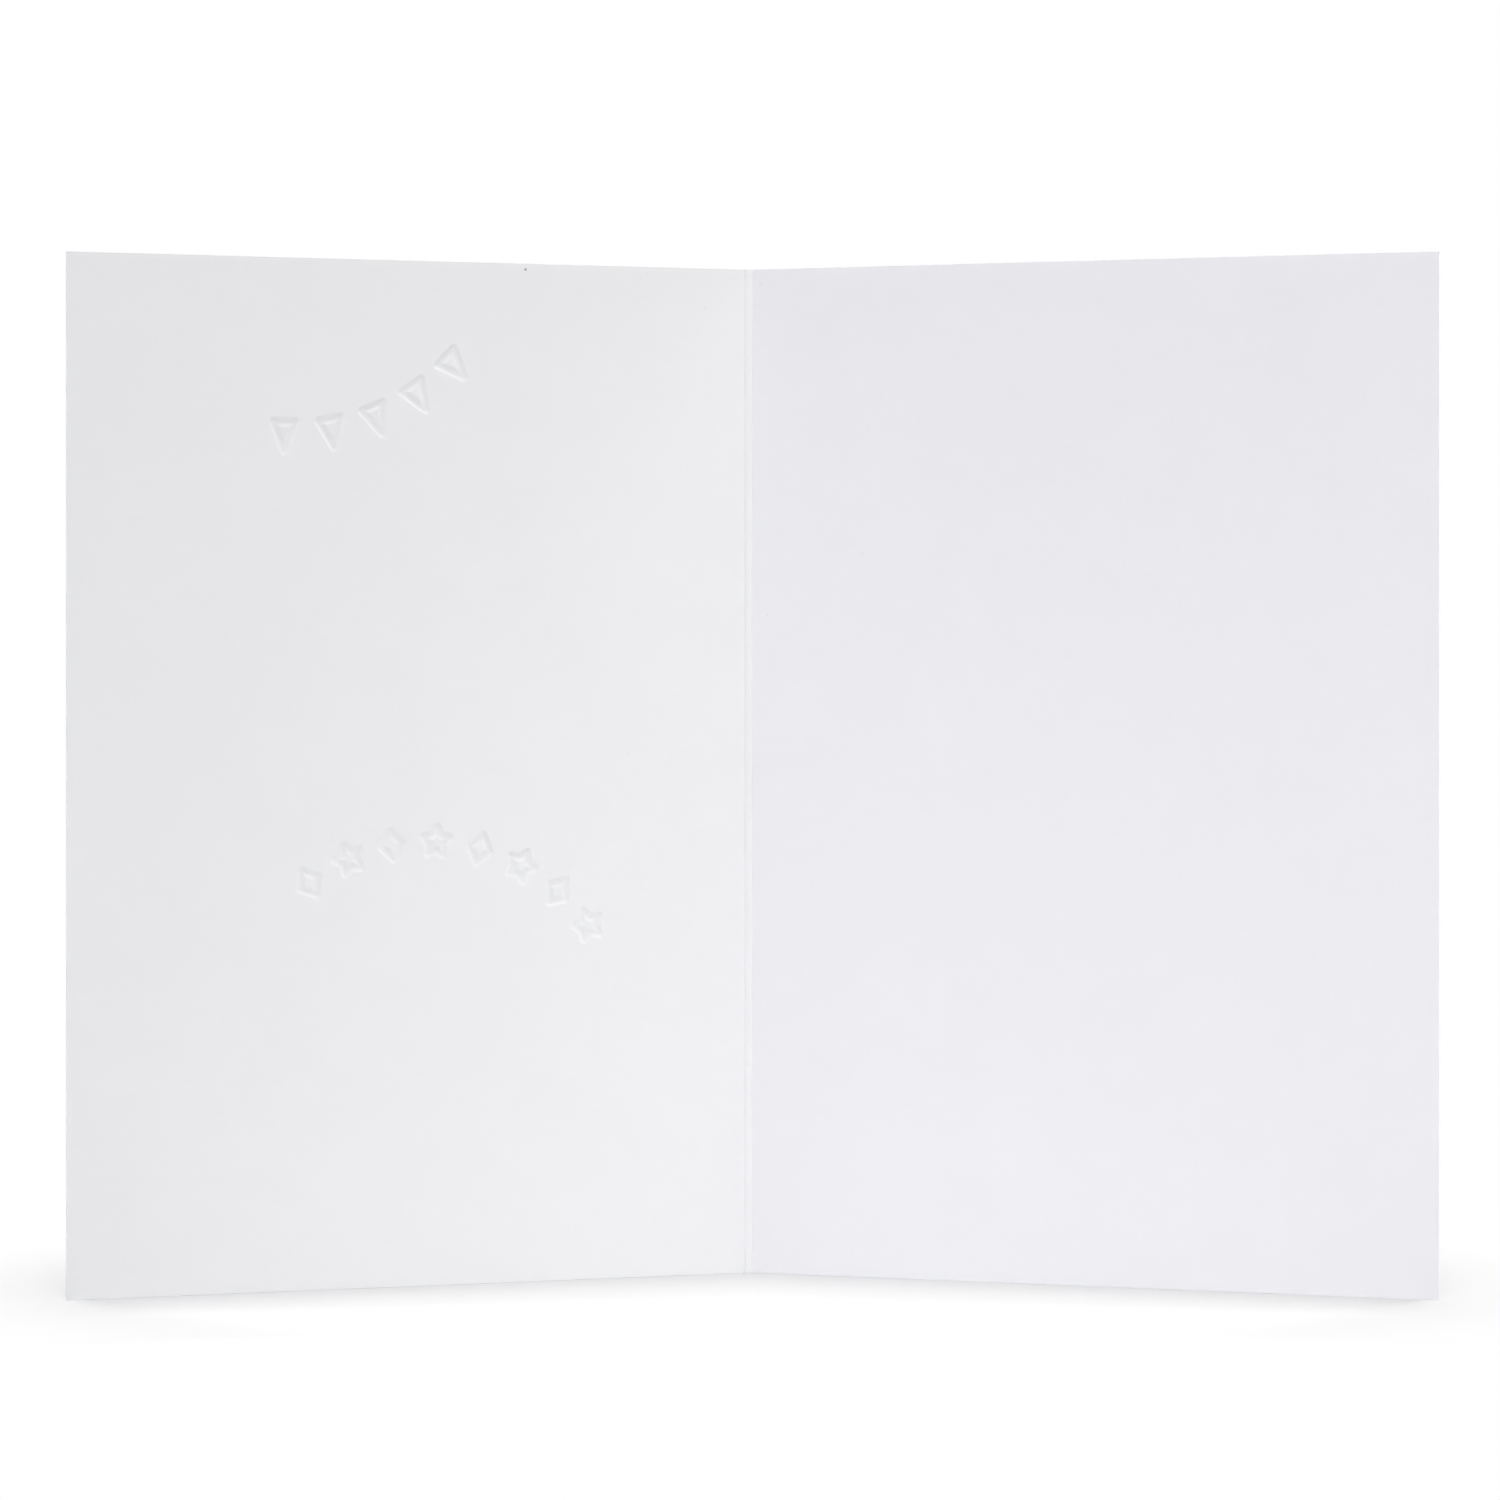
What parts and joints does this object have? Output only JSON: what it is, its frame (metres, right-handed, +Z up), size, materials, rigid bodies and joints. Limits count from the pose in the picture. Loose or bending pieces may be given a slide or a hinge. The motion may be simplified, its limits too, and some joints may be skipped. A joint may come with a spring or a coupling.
{
  "type": "greeting card",
  "caption": "Folded greeting card of white board, standing open in a shallow V, with a creased fold and rows of small blind-embossed marks on the front cover.",
  "frame": {"origin": "bottom centre of the open card's bounding box, on the surface that its lower edges stand on", "axes": "+Z up along the fold, +X to the viewer's right across the inside of the card, +Y from the fore edges back to the fold; the inside faces -Y"},
  "size_m": [0.2328, 0.0514, 0.1778],
  "materials": {
    "board": "uncoated smooth white board"
  },
  "bodies": {
    "root": {"card": "board"}
  },
  "joints": []
}
